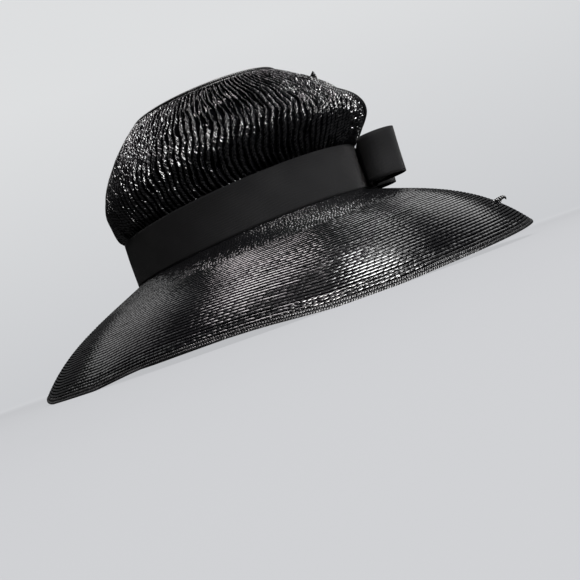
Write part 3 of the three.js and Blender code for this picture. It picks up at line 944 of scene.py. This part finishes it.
def closed_poles(piece):
    """Joins the points that meet in the middle of a disc and drops what that leaves loose."""
    work = bmesh.new()
    work.from_mesh(piece.data)
    bmesh.ops.remove_doubles(work, verts=work.verts, dist=1e-6)
    loose = [edge for edge in work.edges if not edge.link_faces]
    bmesh.ops.delete(work, geom=loose, context="EDGES")
    work.to_mesh(piece.data)
    work.free()


def tip_top(turn, share):
    """Points of the tip's upper face: share 0 is its middle and share 1 its edge."""
    edge = beside(turn, TIP_EDGE_OFFSET, 0)
    x = BAND_CENTRE[0] + (edge[..., 0] - BAND_CENTRE[0]) * share
    y = BAND_CENTRE[1] + (edge[..., 1] - BAND_CENTRE[1]) * share
    return np.stack([x, y, crown_top_height(x, y) + TIP_DOME * (1 - share * share)], -1)


def tip():
    turns = (np.arange(TIP_COLUMNS) * 360 / TIP_COLUMNS)[None, :]
    places = row_places(0, TIP_ROWS, UPPER_STEPS)
    shares = np.append(places, TIP_ROWS)[:, None] / TIP_ROWS
    upper = tip_top(turns, shares)
    lower = tip_top(turns, np.array([1, 0.5, 0])[:, None]) - [0, 0, TIP_THICKNESS]
    points = np.concatenate([upper, lower])
    rows = np.concatenate([places, TIP_ROWS + np.arange(4)])
    flat = len(UPPER_STEPS)
    relief = np.concatenate([np.zeros(flat), np.ones(len(places) - flat), np.zeros(4)])
    values = {
        "Row Depth": TIP_ROW_DEPTH,
        "Unevenness": 0.25,
        "Lump Size": 0.01,
        "Seed": 8.0,
        "Straw": brim_straw,
    }
    mesh = sewn_mesh("crown_tip_rows", points, rows, relief)
    made = grown("crown_tip_rows", mesh, sewn_rows, values)
    closed_poles(made)
    return made


def tube_round(turn, offset, height, radius, sides):
    """A round tube laid level round the crown, as a grid of points: sides across, turns along."""
    middle = beside(turn, offset, 0)
    out = unit(beside(turn, 1, 0) - beside(turn, 0, 0))
    middle[..., 2] = crown_top_height(middle[..., 0], middle[..., 1]) + height
    angle = (np.arange(sides) * math.tau / sides)[:, None, None]
    return middle[None] + radius * (np.cos(angle) * out[None] + np.sin(angle) * np.array([0, 0, 1]))


def round_cord(name, offset, lift, radius):
    turns = np.arange(TIP_COLUMNS) * 360 / TIP_COLUMNS
    places = np.arange(CORD_SIDES) / CORD_SIDES
    points = tube_round(turns, offset, lift + radius, radius, CORD_SIDES)[::-1]
    return plain_piece(name, sewn_mesh(name, points, places, np.zeros(CORD_SIDES)), edge_straw)


tip_piece = tip()
cord_piece = round_cord("tip_cord_straw", CORD_OFFSET, CORD_LIFT, CORD_RADIUS)
seam_piece = round_cord("tip_cord_lower_straw", SEAM_OFFSET, SEAM_LIFT, SEAM_RADIUS)
for piece, node in ((tip_piece, "crown_tip"), (cord_piece, "tip_cord"), (seam_piece, "tip_cord")):
    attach(piece, "root")
    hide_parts(node)

# Band: a matte black ribbon with fine ribs across it, wrapped once round the foot of the crown. Its two
# edges are woven a little thicker, and the grooves between the ribs carry painted shade.
RIBBON_FOOT = 0.00065
RIBBON_THICKNESS = 0.0008
RIBBON_STEPS = 22
RIBBON_COLUMNS = 320
RIBBON_COLOUR = (0.0035, 0.0035, 0.0038, 1)
# Painted shade: the grooves between the ribs are coloured darker than the ribbon.
RIBBON_GROOVE_SHADE = (0.0015, 0.0015, 0.0017, 1)
RIBBON_BUMP = 0.00012
NAP_SCALE = 900
WEAR_SCALE = 26
WEAR_SPAN = (0.3, 0.7)
RIBBON_ROUGHNESS = (0.62, 0.8)
HEM_START = 0.47
HEM_HEIGHT = 0.6
BAND_SLACK = (0.00022, 0.00016)


def ribbon_group():
    """Fine ribs across a ribbon, with a woven edge along both sides, and a mask of the grooves between the
    ribs, which the ribbon uses for painted shade. Lengths are in millimetres.
    """
    tree = bpy.data.node_groups.new("ribbon_ribs", "ShaderNodeTree")
    inputs = [("Ribbon", "NodeSocketVector", None), ("Rib Width", "NodeSocketFloat", 0.7)]
    outputs = [("Height", "NodeSocketFloat"), ("Groove", "NodeSocketFloat")]
    group_sockets(tree, inputs, outputs)
    nodes, links = tree.nodes, tree.links
    given, out = nodes.new("NodeGroupInput"), nodes.new("NodeGroupOutput")
    apart = nodes.new("ShaderNodeSeparateXYZ")
    links.new(given.outputs["Ribbon"], apart.inputs[0])
    turn = maths(tree, "MULTIPLY", apart.outputs["X"], math.tau)
    turn = maths(tree, "DIVIDE", turn, given.outputs["Rib Width"])
    wave = maths(tree, "MULTIPLY_ADD", maths(tree, "COSINE", turn), 0.5, 0.5)
    from_middle = maths(tree, "ABSOLUTE", maths(tree, "SUBTRACT", apart.outputs["Y"], 0.5))
    hem = maths(tree, "GREATER_THAN", from_middle, HEM_START)
    links.new(maths(tree, "MULTIPLY_ADD", hem, HEM_HEIGHT, wave), out.inputs["Height"])
    # The groove mask, which the ribbon uses for painted shade.
    links.new(maths(tree, "SUBTRACT", 1.0, wave), out.inputs["Groove"])
    return tree


def ribbon_material(name, rib_width):
    material, tree, surface = new_material(name)
    links = tree.links
    ribs = pattern_node(tree, ribbon_ribs, {"Rib Width": rib_width})
    height = maths(tree, "MULTIPLY_ADD", noise_texture(tree, NAP_SCALE, 4), 0.5, ribs.outputs["Height"])
    bumped(tree, height, RIBBON_BUMP, [surface.inputs["Normal"]])
    # Painted shade: darker colour in the grooves between the ribs.
    shade = blend_colour(tree, ribs.outputs["Groove"], RIBBON_COLOUR, RIBBON_GROOVE_SHADE)
    links.new(shade, surface.inputs["Base Color"])
    rough = map_range(tree, noise_texture(tree, WEAR_SCALE), WEAR_SPAN, *RIBBON_ROUGHNESS)
    links.new(rough, surface.inputs["Roughness"])
    socket_value(surface, "Specular IOR Level", 0.08)
    socket_value(surface, "Sheen Weight", 0.04)
    socket_value(surface, "Sheen Roughness", 0.4)
    return material


def band_points():
    turns = (np.arange(RIBBON_COLUMNS) * 360 / RIBBON_COLUMNS)[None, :]
    rise = np.linspace(RIBBON_FOOT, RIBBON_TOP, RIBBON_STEPS)[:, None]
    part = (rise - RIBBON_FOOT) / (RIBBON_TOP - RIBBON_FOOT)
    slack = BAND_SLACK[0] * np.sin(np.radians(turns * 7)) * np.sin(math.pi * part)
    waver = np.sin(np.radians(turns * 19 + 50))
    slack = slack + BAND_SLACK[1] * waver * np.sin(math.pi * 2 * part + 1)
    outer = beside(turns, slack, rise)
    inner_rise = np.linspace(RIBBON_TOP, RIBBON_FOOT, 4)[:, None]
    inner = beside(turns, -RIBBON_THICKNESS + np.zeros_like(turns), inner_rise)
    return np.concatenate([outer, inner])[::-1]


ribbon_ribs = ribbon_group()
black_ribbon = ribbon_material("black_ribbon_cloth", 0.8)
band_places = np.concatenate([np.linspace(0, 0.99, RIBBON_STEPS), np.linspace(0.99, 0, 4)])[::-1]
band_mesh = sewn_mesh("hat_band_ribbon", band_points(), band_places, np.zeros(len(band_places)))
band = plain_piece("hat_band_ribbon", band_mesh, black_ribbon)
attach(band, "root")
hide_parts("hat_band")

# Bow: two loops of the same ribbon side by side, flattened against the band, with a short ribbon
# wrapped round their middle. It is sewn on at the front left.
BOW_TURN = 296
BOW_FACING = math.radians(-60)
BOW_FOOT = 0.0026
BOW_LEAN = 0.044
BOW_RIBBON_WIDTH = 0.034
BOW_LOOP_LENGTH = 0.130
BOW_RIBBON_THICKNESS = 0.0008
BOW_STEPS = 96
BOW_RISE_STEPS = 14
BOW_FLARE = 0.015
BOW_PATH = [
    {"along": along, "out": out} for along, out in (
        (0.0012, 0.0029), (0.01, 0.0027), (0.022, 0.0004), (0.033, -0.0016),
        (0.04, -0.0008), (0.0455, 0.0034), (0.0486, 0.0095), (0.0486, 0.016),
        (0.0456, 0.022), (0.04, 0.026), (0.032, 0.0272), (0.023, 0.0254),
        (0.0155, 0.02), (0.0114, 0.0125), (0.0086, 0.007), (0.0012, 0.0064),
    )
]
KNOT_WIDTH = 0.015
KNOT_INNER_OUT = 0.0015
KNOT_OUTER_OUT = 0.0086
KNOT_CLEARANCE = 0.0004
KNOT_THICKNESS = 0.0008
KNOT_CORNER = 0.002
KNOT_FLAT_LENGTH = 0.086
KNOT_SQUARENESS = 1.6
KNOT_CREASE = 0.00018
KNOT_CREASES = 5
KNOT_SINK = 0.0002


def bow_point(along, out, rise):
    """A point of the bow. Its upper edge leans a little away from the crown."""
    facing = np.array([math.cos(BOW_FACING), math.sin(BOW_FACING), 0])
    beam = np.array([facing[1], -facing[0], 0])
    foot = beside(BOW_TURN, 0, BOW_FOOT)
    lean = BOW_LEAN * (rise - BOW_RIBBON_WIDTH / 2)
    along, out, rise = np.broadcast_arrays(along, out + lean, rise)
    return foot + beam * along[..., None] + facing * out[..., None] + np.array([0, 0, 1]) * rise[..., None]


def closed_path(rows, column, steps):
    """A column of a closed path's table, read smoothly at equal steps."""
    table = [{"turn": 0, column: row[column]} for row in rows]
    return around(table, column, np.arange(steps) * 360 / steps)


def flat_ring(name, outer, inner, material):
    """A ring of ribbon from its outer and inner faces, each a grid of points across and along."""
    places = np.concatenate([np.linspace(0, 0.99, len(outer)), np.linspace(0.99, 0, len(inner))])
    mesh = sewn_mesh(name, np.concatenate([outer, inner]), places, np.zeros(len(places)))
    work = bmesh.new()
    work.from_mesh(mesh)
    bmesh.ops.recalc_face_normals(work, faces=work.faces)
    work.to_mesh(mesh)
    work.free()
    return plain_piece(name, mesh, material)


def bow_loop(name, side):
    along = closed_path(BOW_PATH, "along", BOW_STEPS)
    out = closed_path(BOW_PATH, "out", BOW_STEPS)
    ahead_along, ahead_out = np.roll(along, -1) - np.roll(along, 1), np.roll(out, -1) - np.roll(out, 1)
    size = np.hypot(ahead_along, ahead_out)
    in_along, in_out = -ahead_out / size, ahead_along / size
    rise = np.linspace(0, BOW_RIBBON_WIDTH, BOW_RISE_STEPS)[:, None]
    part = rise / BOW_RIBBON_WIDTH
    belly = 1 + BOW_FLARE * np.cos(math.tau * part)
    outer = bow_point(side * along[None] * belly, out[None] * np.ones_like(part), rise)
    inner_along = (along + in_along * BOW_RIBBON_THICKNESS)[None] * belly
    inner_out = (out + in_out * BOW_RIBBON_THICKNESS)[None] * np.ones_like(part)
    inner = bow_point(side * inner_along, inner_out, rise)
    return flat_ring(name, outer, inner[::-1], black_ribbon)


def bow_knot(name):
    low = -KNOT_CLEARANCE - KNOT_THICKNESS
    high = BOW_RIBBON_WIDTH - low
    middle_out, middle_rise = (KNOT_INNER_OUT + KNOT_OUTER_OUT) / 2, (low + high) / 2
    half_out, half_rise = (KNOT_OUTER_OUT - KNOT_INNER_OUT) / 2, (high - low) / 2
    angle = np.arange(BOW_STEPS) * math.tau / BOW_STEPS
    across = np.linspace(-0.5, 0.5, 2 * BOW_RISE_STEPS)[:, None] * KNOT_WIDTH

    def face(inset):
        wide, tall = half_out - inset, half_rise - inset
        corner = KNOT_CORNER - inset / 2
        c, s = np.cos(angle), np.sin(angle)
        reach_out = (wide - corner) * np.clip(KNOT_SQUARENESS * c, -1, 1) + corner * c
        reach_rise = (tall - corner) * np.clip(KNOT_SQUARENESS * s, -1, 1) + corner * s
        crease = KNOT_CREASE * np.cos(across / KNOT_WIDTH * math.tau * KNOT_CREASES) * (c > 0.3)[None]
        out = middle_out + reach_out[None] + crease - KNOT_SINK
        return bow_point(across, out, middle_rise + reach_rise[None])

    return flat_ring(name, face(0.0), face(KNOT_THICKNESS)[::-1], black_ribbon)


bow_pieces = [
    (bow_loop("bow_front_ribbon", 1), "bow_loop_front", (BOW_RIBBON_WIDTH, BOW_LOOP_LENGTH)),
    (bow_loop("bow_side_ribbon", -1), "bow_loop_side", (BOW_RIBBON_WIDTH, BOW_LOOP_LENGTH)),
    (bow_knot("bow_knot_ribbon"), "bow_knot", (KNOT_WIDTH, KNOT_FLAT_LENGTH)),
]
for piece, node, flat in bow_pieces:
    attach(piece, "root")
    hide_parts(node)

# Loose straw ends: one short end stands up from the front of the crown and one from the brim, where
# the sewing has let go. Each is a flat, tapering leaf of straw.
CROWN_END_TURN = 278.5
CROWN_END_PLACE = 0.752
# Each step of a path: how far it is round the hat, down or up its surface, out of it, and the half
# width of the straw there, in millimetres.
CROWN_END_PATH = [
    (0.2, -0.4, -0.8, 3.2),
    (0.15, 0.4, 1.6, 2.8),
    (0.1, 1.2, 3.6, 1.7),
    (0.1, 2.1, 5.6, 0.3),
]
BRIM_END_TURN = 279
BRIM_END_SHARE = 0.831
BRIM_END_PATH = [
    (-1.6, -6.2, -0.9, 0.3),
    (-0.6, -4.1, 1.0, 1.0),
    (0.5, -1.8, 3.3, 1.5),
    (1.5, -0.1, 5.5, 1.4),
    (2.0, 1.5, 6.1, 0.9),
    (2.2, 2.9, 5.2, 0.3),
]
BRIM_STEM_PATH = [
    (0.0, 0.2, -0.6, 0.8),
    (0.4, -0.2, 1.6, 0.8),
    (0.9, -0.6, 4.0, 1.0),
]
LEAF_STEPS = 24
LEAF_THICKNESS = 0.0005


def leaf(name, foot, axes, path):
    """A flat leaf of straw along a path that is given by its offsets from a foot on three axes."""
    steps = [{"around": a, "surface": b, "out": c, "half_width": wide} for a, b, c, wide in path]
    columns = ("around", "surface", "out")
    offsets = [path_values(steps, column, LEAF_STEPS)[:, None] / 1000 for column in columns]
    spine = foot + sum(offset * axis for offset, axis in zip(offsets, axes))
    wide = path_values(steps, "half_width", LEAF_STEPS) / 1000
    deep = np.full(LEAF_STEPS, LEAF_THICKNESS)
    return swept(name, spine, np.maximum(wide, LEAF_THICKNESS / 2), deep, axes[0], edge_straw)


crown_foot = crown_side(CROWN_END_TURN, np.array(CROWN_END_PLACE))
crown_around = unit(crown_side(CROWN_END_TURN + 1, np.array(CROWN_END_PLACE)) - crown_foot)
crown_upward = unit(crown_side(CROWN_END_TURN, np.array(CROWN_END_PLACE + 0.01)) - crown_foot)
crown_axes = (crown_around, crown_upward, np.cross(crown_around, crown_upward))
brim_foot = brim_top(BRIM_END_TURN, BRIM_END_SHARE)
brim_around = unit(brim_top(BRIM_END_TURN + 1, BRIM_END_SHARE) - brim_foot)
brim_rise = brim_up(BRIM_END_TURN, BRIM_END_SHARE)
brim_axes = (brim_around, np.cross(brim_around, brim_rise), brim_rise)
straw_ends = [
    (leaf("crown_loose_end", crown_foot, crown_axes, CROWN_END_PATH), "crown_straw_end"),
    (leaf("brim_loose_end", brim_foot, brim_axes, BRIM_END_PATH), "brim_straw_end"),
    (leaf("brim_loose_stem", brim_foot, brim_axes, BRIM_STEM_PATH), "brim_straw_end"),
]
for piece, node in straw_ends:
    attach(piece, "root")
    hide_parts(node)
